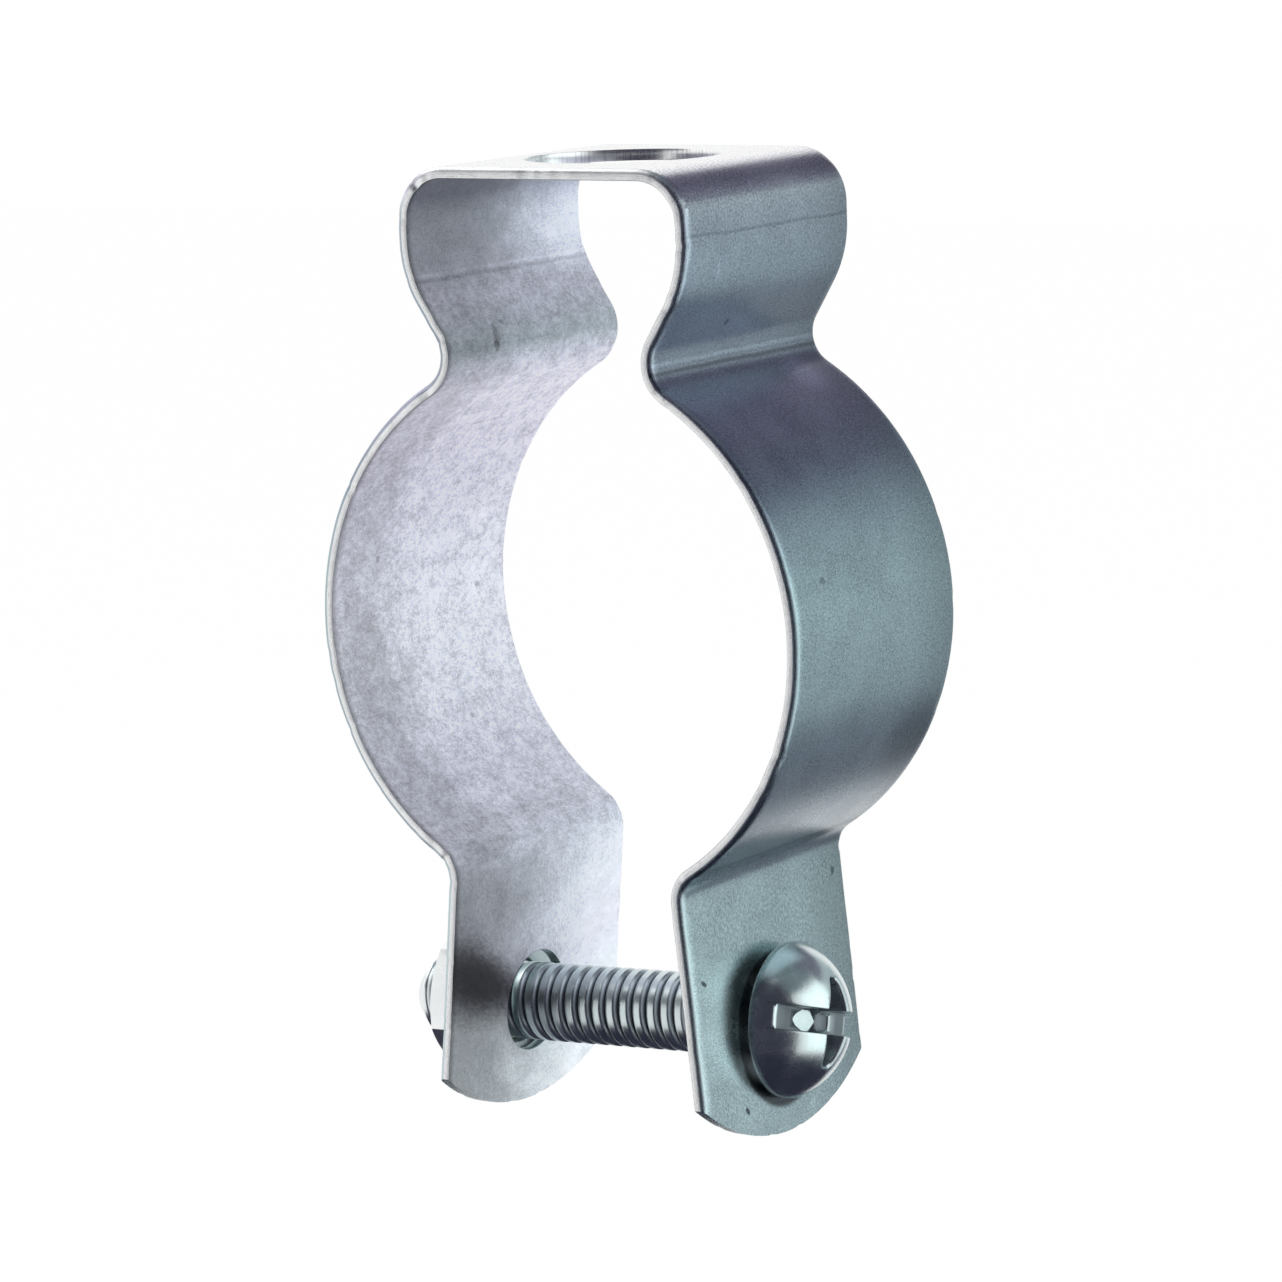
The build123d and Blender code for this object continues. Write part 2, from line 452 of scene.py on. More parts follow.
def add_floor():
    """A pale floor that takes the object's shadow, at a tone that comes out near white."""
    mesh = bpy.data.meshes.new("floor")
    half = FLOOR_SIZE / 2 * MM
    corners = [(-half, -half, 0), (half, -half, 0), (half, half, 0), (-half, half, 0)]
    mesh.from_pydata(corners, [], [(0, 1, 2, 3)])
    floor = linked("floor", mesh)
    floor.location = (0.0, 0.0, cad_low.z - FLOOR_DROP * MM)
    w = Wiring("pale_floor")
    rays = w.node("ShaderNodeLightPath", {})
    seen = w.math("MAXIMUM", rays["Is Camera Ray"], rays["Is Glossy Ray"])
    seen = w.math("MAXIMUM", seen, rays["Is Transmission Ray"])
    pale = w.node("ShaderNodeBsdfDiffuse", {"Color": (FLOOR_TONE, FLOOR_TONE, FLOOR_TONE, 1.0)})[0]
    white = w.node("ShaderNodeEmission", {"Strength": 1.0})[0]
    inputs = {0: w.times(seen, FLOOR_GLOW), 1: pale, 2: white}
    mesh.materials.append(w.surface(w.node("ShaderNodeMixShader", inputs)))


class Wiring:
    """A material's nodes, put together as expressions. Lengths in it are in millimetres."""

    def __init__(self, name):
        self.material = bpy.data.materials.new(name)
        self.material.use_nodes = True
        self.nodes, self.links = self.material.node_tree.nodes, self.material.node_tree.links
        self.nodes.clear()

    def node(self, kind, values, **settings):
        """The outputs of a new node. Its inputs are linked to sockets or set to plain values."""
        made = self.nodes.new(kind)
        for name, value in settings.items():
            setattr(made, name, value)
        for key, value in values.items():
            if isinstance(value, bpy.types.NodeSocket):
                self.links.new(value, made.inputs[key])
            else:
                made.inputs[key].default_value = value
        return made.outputs

    @cached_property
    def place(self):
        return self.scaled(self.node("ShaderNodeTexCoord", {})["Object"], 1 / MM)

    def value(self, attribute):
        return self.node("ShaderNodeAttribute", {}, attribute_name=attribute)["Fac"]

    def math(self, operation, *values):
        return self.node("ShaderNodeMath", dict(enumerate(values)), operation=operation)[0]

    def add(self, a, b):
        return self.math("ADD", a, b)

    def times(self, a, b):
        return self.math("MULTIPLY", a, b)

    def tint(self, share, strength):
        """1 where share is 0, and as much more or less as strength says where it is 1."""
        return self.math("MULTIPLY_ADD", share, strength, 1.0)

    def vector(self, operation, *values):
        return self.node("ShaderNodeVectorMath", dict(enumerate(values)), operation=operation)

    def scaled(self, vector, factor):
        return self.node("ShaderNodeVectorMath", {0: vector, "Scale": factor}, operation="SCALE")[0]

    def step(self, value, low, high, to_low=0.0, to_high=1.0):
        """Eases from to_low to to_high while value goes from low to high."""
        inputs = {"Value": value, "From Min": low, "From Max": high, "To Min": to_low, "To Max": to_high}
        return self.node("ShaderNodeMapRange", inputs, interpolation_type="SMOOTHSTEP")[0]

    def noise(self, size, detail=3.0, roughness=0.6, place=None):
        """0 to 1, with features about size across."""
        place = place or self.place
        inputs = {"Vector": place, "Scale": 1 / size, "Detail": detail, "Roughness": roughness}
        return self.node("ShaderNodeTexNoise", inputs)[0]

    def blend(self, share, a, b):
        return self.node("ShaderNodeMix", {0: share, 6: a, 7: b}, data_type="RGBA")[2]

    def ramp(self, value, stops):
        """Colours by value. Stops are a value from 0 to 1 and then red, green and blue."""
        made = self.node("ShaderNodeValToRGB", {0: value})[0]
        elements = made.node.color_ramp.elements
        while len(elements) < len(stops):
            elements.new(0.5)
        for element, (position, *colour) in zip(elements, stops):
            element.position = position
            element.color = (*colour, 1.0)
        return made

    def bump(self, height, depth):
        """Relief of a height from 0 to 1 that stands for depth in millimetres."""
        return self.node("ShaderNodeBump", {"Strength": 1.0, "Distance": depth * MM, "Height": height})[0]

    def surface(self, shader):
        """The finished material, with the first output of a shader."""
        self.node("ShaderNodeOutputMaterial", {"Surface": shader[0]})
        return self.material

    def metal(self, colour, roughness, normal, metallic=1.0):
        inputs = {"Base Color": colour, "Roughness": roughness, "Metallic": metallic, "Normal": normal}
        return self.surface(self.node("ShaderNodeBsdfPrincipled", inputs))


def galvanised_strip():
    """Galvanised strip: grey and satin outside, pale and mottled inside, bright on its cut edges, with
    painted shade and highlights.
    """
    w = Wiring("galvanised_strip")
    along = w.value("strip_along")
    height = w.value("strip_height")
    reach = w.math("ABSOLUTE", along)
    x, across, z = w.node("ShaderNodeSeparateXYZ", {0: w.place})
    here = w.node("ShaderNodeCombineXYZ", {0: along, 1: across})[0]
    # The mottling is drawn out a little across the strip, and the two faces are far apart in it
    flat = w.node("ShaderNodeCombineXYZ", {0: along, 1: w.times(across, 0.7), 2: w.times(height, 40.0)})[0]
    grain = w.noise(0.16, place=flat)
    flecks = w.noise(0.45, roughness=0.65, place=flat)
    clouds = w.noise(3.5, detail=4.0, place=flat)
    blotches = w.noise(1.5, roughness=0.65, place=flat)
    swaying = w.noise(5.0, detail=2.0, roughness=0.5, place=flat)

    def line(centre, width, wobble):
        """1 along a line right across the strip, centre along it, and 0 beyond width from it."""
        drift = w.step(swaying, 0.2, 0.8, -wobble, wobble)
        return w.step(w.math("ABSOLUTE", w.add(w.add(along, -centre), drift)), width, 0.2 * width)

    def patch(centre, size, soft):
        """1 within an ellipse about centre (along, across), and 0 beyond size from it."""
        away = w.vector("DIVIDE", w.vector("SUBTRACT", here, (*centre, 0.0))[0], (*size, 1.0))[0]
        far = w.vector("LENGTH", away)["Value"]
        ragged = 0.25 if max(size) < 3.0 else 0.08
        return w.step(w.add(far, w.step(flecks, 0.2, 0.8, -ragged, ragged)), 1.0, 1.0 - soft)

    def shaded(colour, noises, *shades):
        """Colour times 1 and its noises, and times each shade."""
        total = 1.0
        for value in noises:
            total = w.add(value, total)
        for shade in shades:
            total = w.times(shade, total)
        return w.scaled(colour, total)

    def marks(lines, patches):
        """Product of the lines and patches of one face, each with its strength."""
        total = 1.0
        for shape, shapes in ((line, lines), (patch, patches)):
            for *values, strength in shapes:
                total = w.times(w.tint(shape(*values), strength), total)
        return total

    on_ear = w.step(reach, *EAR_SHADING)
    on_crown = w.step(reach, *CROWN_SHADING)
    noises = (
        w.step(grain, 0.25, 0.75, -0.34, 0.34),
        w.step(flecks, 0.25, 0.75, -0.08, 0.08),
        w.step(clouds, 0.3, 0.7, -0.05, 0.05),
    )
    # Painted shade: beyond the top plate, the outer face darker towards its back edge
    right_shade = w.step(w.add(across, w.step(clouds, 0.2, 0.8, -2.0, 2.0)), 4.0, 12.0, 0.0, -0.26)
    outside = shaded(
        w.ramp(w.times(reach, 1 / STRIP_REACH), OUTER_BANDS),
        noises,
        w.tint(w.step(reach, 8.0, 12.0), right_shade),
        # painted shade: the ears' outer faces a little darker towards the back edge
        w.tint(on_ear, w.step(across, -11.0, 11.0, 0.0, -0.10)),
        marks(OUTER_LINES, OUTER_PATCHES),
    )
    # Painted shadow of the screw's head: a dark ring round and under it on the outer face of the ear it
    # sits on
    above = w.add(z, -StrapSection().screw_z)
    off_axis = w.math("SQRT", w.add(w.times(across, across), w.times(above, above)))
    head_shadow = w.times(w.step(off_axis, *HEAD_SHADOW_EDGE), w.step(x, 0.0, 1.0, 0.0, 0.9))
    outside = w.blend(head_shadow, outside, HEAD_SHADOW_COLOUR)

    # Painted light and shade on the inner face: on the crown and the ears darker towards the front edge and
    # lighter towards the back, on the loop darker at the front
    share = w.step(w.add(across, w.step(clouds, 0.2, 0.8, -2.5, 2.5)), -10.5, 10.5)
    crown_shade = w.math("MULTIPLY_ADD", w.math("POWER", share, 2.6), 1.10, -0.46)
    ear_shade = w.math("MULTIPLY_ADD", share, 1.25, -0.44)
    loop_shade = w.step(share, 0.0, 0.45, -0.24, 0.06)
    flat_shade = w.add(w.times(on_crown, crown_shade), w.times(on_ear, ear_shade))
    on_loop = w.add(1.0, w.times(w.add(on_crown, on_ear), -1.0))
    quiet = w.tint(w.add(on_ear, on_crown), -0.5)
    noises = (
        w.times(quiet, w.step(flecks, 0.25, 0.75, -0.21, 0.17)),
        w.times(quiet, w.step(blotches, 0.30, 0.70, -0.15, 0.13)),
        w.step(grain, 0.25, 0.75, -0.19, 0.19),
    )
    inside = shaded(
        w.ramp(w.times(reach, 1 / STRIP_REACH), INNER_BANDS),
        noises,
        w.add(1.0, w.add(flat_shade, w.times(on_loop, loop_shade))),
        # painted shade along the inner face's front edge
        w.step(across, -11.9, -11.1, 0.45, 1.0),
        marks(INNER_LINES, INNER_PATCHES),
    )
    is_inside = w.step(height, 0.12, 0.04)
    colour = w.blend(is_inside, outside, inside)
    is_cut = w.step(w.value("strip_cut"), 0.3, 0.9)
    nicks = w.step(w.noise(0.9, roughness=0.7, place=flat), 0.34, 0.44, 0.55, 1.0)
    colour = w.blend(is_cut, colour, w.scaled(CUT_COLOUR, nicks))
    roughness = w.add(w.step(is_inside, 0.0, 1.0, 0.28, 0.46), w.step(clouds, 0.3, 0.7, -0.025, 0.025))
    metallic = w.step(is_inside, 0.0, 1.0, 1.0, 0.3)
    relief = w.add(w.times(grain, 0.5), w.times(flecks, 0.5))
    return w.metal(colour, roughness, w.bump(relief, 0.014), metallic)


def zinc_screw(seat, nut_end):
    """Bright zinc plating, duller on the shank, with painted shade in the slot, the recess and the thread's
    grooves.
    """
    w = Wiring("zinc_plated_screw")
    groove = w.value("groove")
    dirt = w.value("dirt")
    blotches = w.noise(1.6)
    grain = w.noise(0.2, detail=2.0, roughness=0.5)
    x = w.node("ShaderNodeSeparateXYZ", {0: w.place})[0]
    colour = w.ramp(blotches, ((0.25, 0.60, 0.69, 0.70), (0.75, 0.80, 0.88, 0.88)))
    past_nut = w.step(x, nut_end + 0.3, nut_end - 0.1)
    colour = w.blend(past_nut, colour, SCREW_END_COLOUR)
    # Painted shade in the thread's grooves, faint beyond the nut, and in the slot and the recess
    groove_shade = w.times(w.step(past_nut, 0.0, 1.0, 0.85, 0.15), w.step(groove, 0.3, 1.0))
    in_shade = w.math("MAXIMUM", groove_shade, w.times(dirt, 0.85))
    colour = w.blend(in_shade, colour, SCREW_SHADE_COLOUR)
    on_shank = w.step(x, seat, seat - 0.1)
    satin = w.add(w.times(on_shank, 0.07), w.times(in_shade, 0.15))
    roughness = w.add(w.step(blotches, 0.3, 0.7, 0.20, 0.28), satin)
    return w.metal(colour, roughness, w.bump(grain, 0.004))


def zinc_nut():
    """Pale zinc plating, duller than the screw's."""
    w = Wiring("zinc_plated_nut")
    blotches = w.noise(1.8)
    grain = w.noise(0.3, detail=2.0, roughness=0.5)
    colour = w.ramp(blotches, ((0.25, 0.87, 0.90, 0.90), (0.75, 0.96, 0.98, 0.98)))
    return w.metal(colour, w.step(blotches, 0.3, 0.7, 0.25, 0.38), w.bump(grain, 0.006))


class Grid:
    """Vertices and faces of a mesh, in millimetres, with the values that its material reads.

    Each value is named with what it is at a vertex that states none."""

    def __init__(self, **usual):
        self.usual = usual
        self.values = {name: [] for name in usual}
        self.points = []
        self.faces = []

    def add(self, point, **values):
        self.points.append(Vector(point))
        for name, usual in self.usual.items():
            self.values[name].append(values.get(name, usual))
        return len(self.points) - 1

    def bridge(self, first, second, closed=False):
        """Quads between two rows of vertices of the same length."""
        count = len(first)
        for i in range(count if closed else count - 1):
            j = (i + 1) % count
            self.faces.append((first[i], first[j], second[j], second[i]))

    def stitch(self, few, many):
        """Triangles between two closed rings of different counts that start at the same angle."""
        i = j = 0
        while i < len(few) or j < len(many):
            here, there = few[i % len(few)], many[j % len(many)]
            if j * len(few) <= i * len(many):
                j += 1
                self.faces.append((here, many[j % len(many)], there))
            else:
                i += 1
                self.faces.append((here, few[i % len(few)], there))

    def ring(self, x, radius, columns):
        """A closed ring of vertices about the X axis."""
        return [self.add(about_x(x, radius, 2 * math.pi * j / columns)) for j in range(columns)]

    def mesh(self, name):
        mesh = bpy.data.meshes.new(name)
        mesh.from_pydata([point * MM for point in self.points], [], self.faces)
        for value_name, values in self.values.items():
            attribute = mesh.attributes.new(value_name, "FLOAT", "POINT")
            attribute.data.foreach_set("value", values)
        mesh.polygons.foreach_set("use_smooth", [True] * len(mesh.polygons))
        mesh.update()
        return mesh

    def solid(self, name, weld, sharpest):
        """The mesh with vertices within weld joined, faces turned outwards and sharp edges marked."""
        mesh = self.mesh(name)
        made = bmesh.new()
        made.from_mesh(mesh)
        bmesh.ops.remove_doubles(made, verts=made.verts, dist=weld * MM)
        bmesh.ops.dissolve_degenerate(made, edges=made.edges, dist=weld * MM / 10)
        bmesh.ops.recalc_face_normals(made, faces=made.faces)
        made.to_mesh(mesh)
        made.free()
        mesh.set_sharp_from_angle(angle=math.radians(sharpest))
        return mesh


def strip_outline():
    """The strip's cross-section: (Y, height above the inner face), once round from one side's inner corner.

    The outer long edges are rolled over and the inner ones are barely rounded. Both wide faces have the
    same columns, so that a hole can go straight through."""
    half = STRIP_WIDTH / 2
    flat = half - EDGE_ROLL
    columns = [-flat + 2 * flat * i / COLUMNS for i in range(COLUMNS + 1)]
    near = 0.3 * EDGE_ROUND
    inner_corner = [(half - EDGE_ROUND, 0.0), (half - near, near), (half, EDGE_ROUND)]
    middle = (half, (EDGE_ROUND + SHEET - EDGE_ROLL) / 2)
    rolled = []
    for step in range(ROLL_STEPS):
        angle = math.pi / 2 * step / ROLL_STEPS
        over, up = EDGE_ROLL * math.cos(angle), EDGE_ROLL * math.sin(angle)
        rolled.append((flat + over, SHEET - EDGE_ROLL + up))
    side = inner_corner + [middle] + rolled
    inner = [(y, 0.0) for y in columns]
    outer = [(y, SHEET) for y in reversed(columns)]
    return inner + side + outer + [(-y, t) for y, t in reversed(side)]


def nick(along, lane):
    """How far a sheared edge falls short at a place along it: slow waves, and a few small nicks.

    The lane is where the edge lies in the noise."""
    wave = noise.noise(Vector((along / WAVE_LENGTH, lane, 0.5)))
    bite = noise.noise(Vector((along / NICK_LENGTH, lane, 7.5)))
    return WAVE_DEPTH * abs(wave) + NICK_DEPTH * max(0.0, abs(bite) - NICK_START) / (1 - NICK_START)


def ear_end_z(section, y):
    """Height of the arc that an ear ends in, with its nicks."""
    arc = section.tip_z + EAR_END_RADIUS - math.sqrt(EAR_END_RADIUS**2 - y**2)
    return arc + nick(y, 11.5)


def both_legs(leg):
    """Rows from one ear's end to the other's, with the distances in the far leg negative."""
    far_leg = []
    for along, place, turned, name in leg[:0:-1]:
        far_leg.append((-along, Vector((-place.x, place.y)), -turned, name))
    return far_leg + leg


def strap_point(section, row, ear_start, y, height):
    """Place in space of a point of the strip. In the ears it is stretched to the arc of the end."""
    along, place, turned, name = row
    normal = left_of(heading(turned))
    if name == "ear":
        ear_along, ear_place, whole = ear_start
        share = (abs(along) - ear_along) / whole
        top = ear_place.y + height * normal.y
        length = (top - ear_end_z(section, y)) / math.cos(math.radians(EAR_SPLAY))
        way = heading(turned) if along > 0 else heading(turned + math.pi)
        start = Vector((math.copysign(ear_place.x, along), ear_place.y))
        place = start + way * length * share
    spot = place + normal * height
    return Vector((spot.x, y, spot.y))


def ring_of(rows, columns):
    """Row and column numbers once round the border of a block, from its first corner."""
    top, bottom = rows
    left, right = columns
    return (
        [(top, column) for column in range(left, right)]
        + [(row, right) for row in range(top, bottom)]
        + [(bottom, column) for column in range(right, left, -1)]
        + [(row, left) for row in range(bottom, top, -1)]
    )


def build_strap():
    """The strap: a table of rows and columns, with the holes and the ends of the ears put in."""
    section = StrapSection()
    leg = section.leg()
    rows = both_legs(leg)
    outline = strip_outline()
    ear_top = [row for row in leg if row[3] == "mouth_bend"][-1]
    ear_start = (ear_top[0], ear_top[1], leg[-1][0] - ear_top[0])
    grid = Grid(strip_along=0.0, strip_height=0.5, strip_cut=0.0)
    table = []
    for row in rows:
        line = []
        for y, height in outline:
            cut = 1.0 if abs(y) > STRIP_WIDTH / 2 - 1e-6 else 0.0
            if abs(y) > STRIP_WIDTH / 2 - EDGE_ROLL + 1e-6:
                y -= math.copysign(nick(row[0], math.copysign(3.5, y)), y)
            point = strap_point(section, row, ear_start, y, height)
            line.append(grid.add(point, strip_along=row[0], strip_height=height / SHEET, strip_cut=cut))
        table.append(line)

    plate = [i for i, row in enumerate(rows) if row[3] == "plate"]
    left_ear = [i for i, row in enumerate(rows) if row[3] == "ear" and row[0] < 0]
    right_ear = [i for i, row in enumerate(rows) if row[3] == "ear" and row[0] > 0]
    ear_hole = (EAR_HOLE_RINGS, EAR_HOLE_DIAMETER / 2, section.screw_z)
    holes = (
        (plate, HOLE_RINGS, HANGING_HOLE_DIAMETER / 2, None),
        (left_ear, *ear_hole),
        (right_ear, *ear_hole),
    )
    inner_columns = range(COLUMNS + 1)
    outer_first = outline.index((-outline[0][0], SHEET))
    outer_columns = [outer_first + COLUMNS - i for i in range(COLUMNS + 1)]
    open_cells = set()
    for block, rings, radius, level in holes:
        span = (block[0], block[-1])
        walls = []
        for columns in (inner_columns, outer_columns):
            walls.append(warp_round_hole(grid, table, span, columns, rings, radius, level))
        for row in range(span[0] + rings, span[1] - rings):
            for column in range(rings, COLUMNS - rings):
                open_cells.update(((row, column), (row, outer_columns[column] - 1)))
        bore(grid, walls, radius, level)
    for i in range(len(rows) - 1):
        for j in range(len(outline)):
            if (i, j) not in open_cells:
                k = (j + 1) % len(outline)
                grid.faces.append((table[i][j], table[i][k], table[i + 1][k], table[i + 1][j]))
    cap(grid, table[0], outer_columns, True)
    cap(grid, table[-1], outer_columns, False)
    return grid


def from_axis(point, level):
    """The nearest point of a hole's axis, and the way from there to the point.

    level is the height of a hole through an ear, whose axis is along X, and None for the hanging hole,
    whose axis is upright."""
    middle = Vector((0, 0, point.z)) if level is None else Vector((point.x, 0, level))
    return middle, (point - middle).normalized()


def warp_round_hole(grid, table, span, columns, rings, radius, level):
    """Lays the rows and columns round a block as rings, from the hole's edge out to the block's own border.

    Returns the innermost ring."""
    border = [Vector(grid.points[table[r][columns[c]]]) for r, c in ring_of(span, (0, COLUMNS))]
    sides = (COLUMNS, span[1] - span[0]) * 2
    innermost = []
    for ring in range(rings):
        left = rings - ring
        spots = ring_of((span[0] + left, span[1] - left), (left, COLUMNS - left))
        for i, (r, c) in enumerate(spots):
            vertex = table[r][columns[c]]
            if ring == 0:
                innermost.append(vertex)
            outer = border_at(border, sides, 2 * left, i)
            middle, aside = from_axis(outer, level)
            point = (middle + aside * (radius + EDGE_ROUND)).lerp(outer, ring / rings)
            if level is not None:
                point.x = face_x(border, point.z)
            grid.points[vertex] = point
    return innermost


def border_at(border, sides, shrunk, i):
    """The border's point that lies as far round, side by side, as spot i of a ring with shrunk sides."""
    place = 0.0
    for side in sides:
        if i < side - shrunk:
            place += side * i / (side - shrunk)
            break
        place += side
        i -= side - shrunk
    whole = int(place + 1e-9)
    return border[whole].lerp(border[(whole + 1) % len(border)], max(0.0, place - whole))


def face_x(border, z):
    """X on an ear's sloping face at height z."""
    top = max(border, key=lambda point: point.z)
    bottom = min(border, key=lambda point: point.z)
    return top.x + (bottom.x - top.x) * (top.z - z) / (top.z - bottom.z)


def bore(grid, walls, radius, level):
    """The wall of a hole, with its two edges barely rounded."""
    into = Vector((0, 0, 1)) if level is None else Vector((1, 0, 0))
    halves = []
    for start, other in (walls, walls[::-1]):
        rows = [start]
        for out, down in HOLE_EDGE:
            row = []
            for a, b in zip(start, other):
                middle, aside = from_axis(grid.points[a], level)
                sunk = math.copysign(down * EDGE_ROUND, (grid.points[b] - grid.points[a]).dot(into))
                point = middle + aside * (radius + out * EDGE_ROUND) + into * sunk
                row.append(grid.add(point, strip_along=grid.values["strip_along"][a]))
            rows.append(row)
        halves.append(rows)
    rows = halves[0] + halves[1][::-1]
    for first, second in zip(rows, rows[1:]):
        grid.bridge(first, second, closed=True)


def cap(grid, line, outer_columns, flipped):
    """The end of an ear: a band between its two faces, and a face at each of its sides."""
    first = len(grid.faces)
    grid.bridge(line[:COLUMNS + 1], [line[i] for i in outer_columns])
    grid.faces.append(tuple(line[COLUMNS:outer_columns[COLUMNS] + 1]))
    grid.faces.append((*line[outer_columns[0]:], line[0]))
    if flipped:
        grid.faces[first:] = [face[::-1] for face in grid.faces[first:]]


def thread_profile(phase):
    """How far below its crest a thread lies, as a share of its depth. Phase 0 is the crest's middle."""
    away = abs((phase + 0.5) % 1.0 - 0.5)
    share = (away - CREST_FLAT / 2) / (0.5 - ROOT_FLAT / 2 - CREST_FLAT / 2)
    return min(1.0, max(0.0, share)) ** FLANK_BULGE


def axial_places(node, origin, axis, beyond=0.0):
    """How far along an axis a CAD node reaches, of its points that lie further than beyond from it."""
    places = []
    for vertex in frame["nodes"][node].data.vertices:
        offset = vertex.co - origin
        along = offset.dot(axis)
        if (offset - axis * along).length > beyond:
            places.append(along)
    return min(places) / MM, max(places) / MM


def both_sides(*corners):
    """An outline from one end to the other, of which the corners are the half where U is positive."""
    return [Vector((-u, v)) for u, v in corners] + [Vector(corner) for corner in reversed(corners)]


class Head:
    """The screw's head: a dome with a driver slot and a cross recess, as depths below its middle."""

    def __init__(self, seat, top):
        self.top = top
        self.half = HEAD_DIAMETER / 2
        height = top - seat - HEAD_RIM
        self.radius = (self.half**2 + height**2) / (2 * height)
        self.centre = top - self.radius
        self.rim = math.asin((self.half - HEAD_RIM_ROUND) / (self.radius - HEAD_RIM_ROUND))
        self.slot_reach = math.sqrt(self.radius**2 - (self.radius - SLOT_DEPTH) ** 2)
        self.spots = []
        self.lines = []

    def dome(self, spot):
        """Depth of the dome at a spot."""
        return self.radius - math.sqrt(self.radius**2 - spot.length_squared)

    def spot(self, spot, depth, dirt=0.0):
        self.spots.append((spot, depth, dirt))
        return len(self.spots) - 1

    def path(self, corners, depth, dirt=0.0, closed=False):
        """A line through corners in steps, whose depth is given by a function of the spot."""
        ends = corners[1:] + corners[:1] if closed else corners[1:]
        made = []
        for a, b in zip(corners, ends):
            steps = max(1, round((b - a).length / OUTLINE_STEP))
            for step in range(steps):
                spot = a.lerp(b, step / steps)
                made.append(self.spot(spot, depth(spot), dirt))
        made.append(made[0] if closed else self.spot(corners[-1], depth(corners[-1]), dirt))
        self.lines += list(zip(made, made[1:]))

    def opening(self, grown):
        """One half of the outline that the slot and an arm leave on the dome."""
        side = SLOT_WIDTH / 2 + grown
        reach = math.sqrt((self.slot_reach + SLOT_OVERRUN) ** 2 - side**2)
        tip, root = ARM_TIP_HALF + grown, ARM_ROOT_HALF + grown
        return both_sides(
            (reach, side),
            (root, side),
            (tip, ARM_REACH + 0.4 * grown - ARM_CORNER),
            (tip - ARM_CORNER, ARM_REACH + grown),
        )

    def build(self):
        """Spots and lines of the slot and the recess, one half after the other, with their painted shade.
        """
        side = SLOT_WIDTH / 2
        foot_side = side - SLOT_DRAFT
        reach = math.sqrt(self.slot_reach**2 - side**2)

        def arm(tip, root, length, base):
            return both_sides((root, base), (tip, length - ARM_CORNER), (tip - ARM_CORNER, length))

        def mouth(length, tip, root, base):
            corners = ((root, base), (length, tip), (length, -tip), (root, -base))
            return [Vector(corner) for corner in corners]

        for way in (1, -1):
            def lay(corners, depth, dirt=0.0):
                self.path([corner * way for corner in corners], depth, dirt)

            # The lip round the opening, with a line of painted shade just inside its edge
            for grown, drop, dirt in ((LIP_ROUND, 0.0, 0.0), (0.3 * LIP_ROUND, 0.3 * LIP_ROUND, 0.55)):
                lay(self.opening(grown), lambda s: self.dome(s) + drop, dirt)
            # The slot's walls on either side of the arm
            for sign in (-1, 1):
                ends = (sign * reach, sign * ARM_ROOT_HALF)
                lay([Vector((u, side)) for u in ends], lambda s: min(self.dome(s) + LIP_ROUND, SLOT_DEPTH))
                lay([Vector((u, foot_side)) for u in ends], lambda s: SLOT_DEPTH, 0.85)
            # The arm across the slot: its chamfer, the top of its wall and its foot
            tip, root = ARM_TIP_HALF - 0.6 * ARM_CHAMFER, ARM_ROOT_HALF - ARM_CHAMFER
            lay(arm(tip, root, ARM_REACH - 0.1, side), lambda s: self.dome(s) + 1.3 * ARM_CHAMFER)
            tip, root = tip - WALL_DRAFT, root - WALL_DRAFT
            lay(arm(tip, root, ARM_REACH - 0.14, side), lambda s: self.dome(s) + 2 * ARM_CHAMFER, 0.40)
            foot = arm(SHOULDER_TIP_HALF, SHOULDER_ROOT_HALF, SHOULDER_REACH, foot_side)
            lay(foot, lambda s: SLOT_DEPTH, 0.85)
            # The arm along the slot opens in the slot's floor; between lines of painted shade its brim
            # stays clear and bright
            brim = mouth(SHOULDER_REACH + 0.02, SHOULDER_TIP_HALF + 0.15, SHOULDER_ROOT_HALF, foot_side)
            lay(brim, lambda s: SLOT_DEPTH, 0.8)
            edge = mouth(SHOULDER_REACH - 0.2, SHOULDER_TIP_HALF + 0.05, FLOOR_HALF_LENGTH + 0.2, 0.75)
            lay(edge, lambda s: SLOT_DEPTH + 0.10, 0.0)
            edge = mouth(SHOULDER_REACH - 0.26, SHOULDER_TIP_HALF + 0.01, FLOOR_HALF_LENGTH + 0.17, 0.71)
            lay(edge, lambda s: SLOT_DEPTH + 0.2, 1.0)
            # Where the slot's floor rounds over on to the dome
            for beyond, drop, dirt in SLOT_END_ROUND:
                radius = self.slot_reach + beyond
                end = []
                for step in range(9):
                    end.append(heading(math.asin(foot_side / radius) * (step / 4 - 1)) * radius)
                lay(end, lambda s: max(SLOT_DEPTH, self.dome(s)) + drop, dirt)
        # The recess's floor, ringed by painted shade
        for grown, drop, dirt in ((0.0, 0.0, 0.0), (0.05, 0.06, 1.0)):
            floor = []
            for step in range(6):
                angle = math.radians(60 * step)
                floor.append(Vector((
                    (FLOOR_HALF_LENGTH + grown) * math.cos(angle),
                    (FLOOR_HALF_WIDTH + 0.4 * grown) * math.sin(angle) / math.sin(math.pi / 3),
                )))
            self.path(floor, lambda s: RECESS_DEPTH - FLOOR_TILT * s.x - drop, dirt, closed=True)

    def on_dome(self, spot):
        """True where a spot is clear of the slot and the recess."""
        u, v = abs(spot.x), abs(spot.y)
        margin = LIP_ROUND + 0.08
        if v < SLOT_WIDTH / 2 + margin and spot.length < self.slot_reach + 0.3:
            return False
        share = (v - SLOT_WIDTH / 2) / (ARM_REACH - SLOT_WIDTH / 2)
        width = ARM_ROOT_HALF + (ARM_TIP_HALF - ARM_ROOT_HALF) * share
        return v > ARM_REACH + margin or u > width + margin

